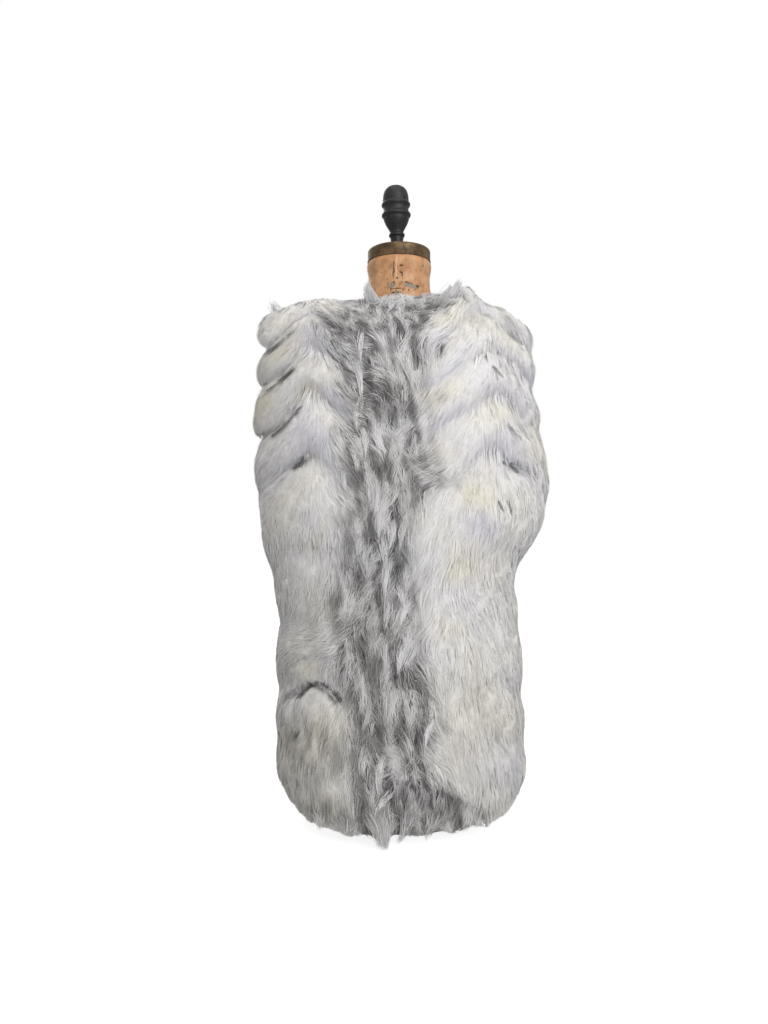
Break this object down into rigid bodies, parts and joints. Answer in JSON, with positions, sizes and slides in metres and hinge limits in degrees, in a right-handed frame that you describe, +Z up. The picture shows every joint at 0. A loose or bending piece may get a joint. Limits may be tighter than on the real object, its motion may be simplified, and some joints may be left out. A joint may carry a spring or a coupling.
{
  "type": "faux fur vest on dress form",
  "caption": "Sleeveless hip-length faux fur vest with pelt bands and an open front edge, worn by a limbless table dress form with a metal neck cap and a turned wood finial.",
  "frame": {"origin": "centre of the flat foot under the dress form", "axes": "+Z up along the neck; the vest's front faces -Y; +X is the viewer's right, which is the wearer's left"},
  "size_m": [0.4152, 0.2734, 0.9126],
  "materials": {
    "fur": "long white and grey pile",
    "form_cover": "aged tan covering",
    "neck_cap": "aged",
    "finial": "black stain, satin"
  },
  "bodies": {
    "root": {"front_right": "fur", "front_left": "fur", "back": "fur", "form_body": "form_cover", "neck_cap": "neck_cap", "finial": "finial"}
  },
  "joints": []
}
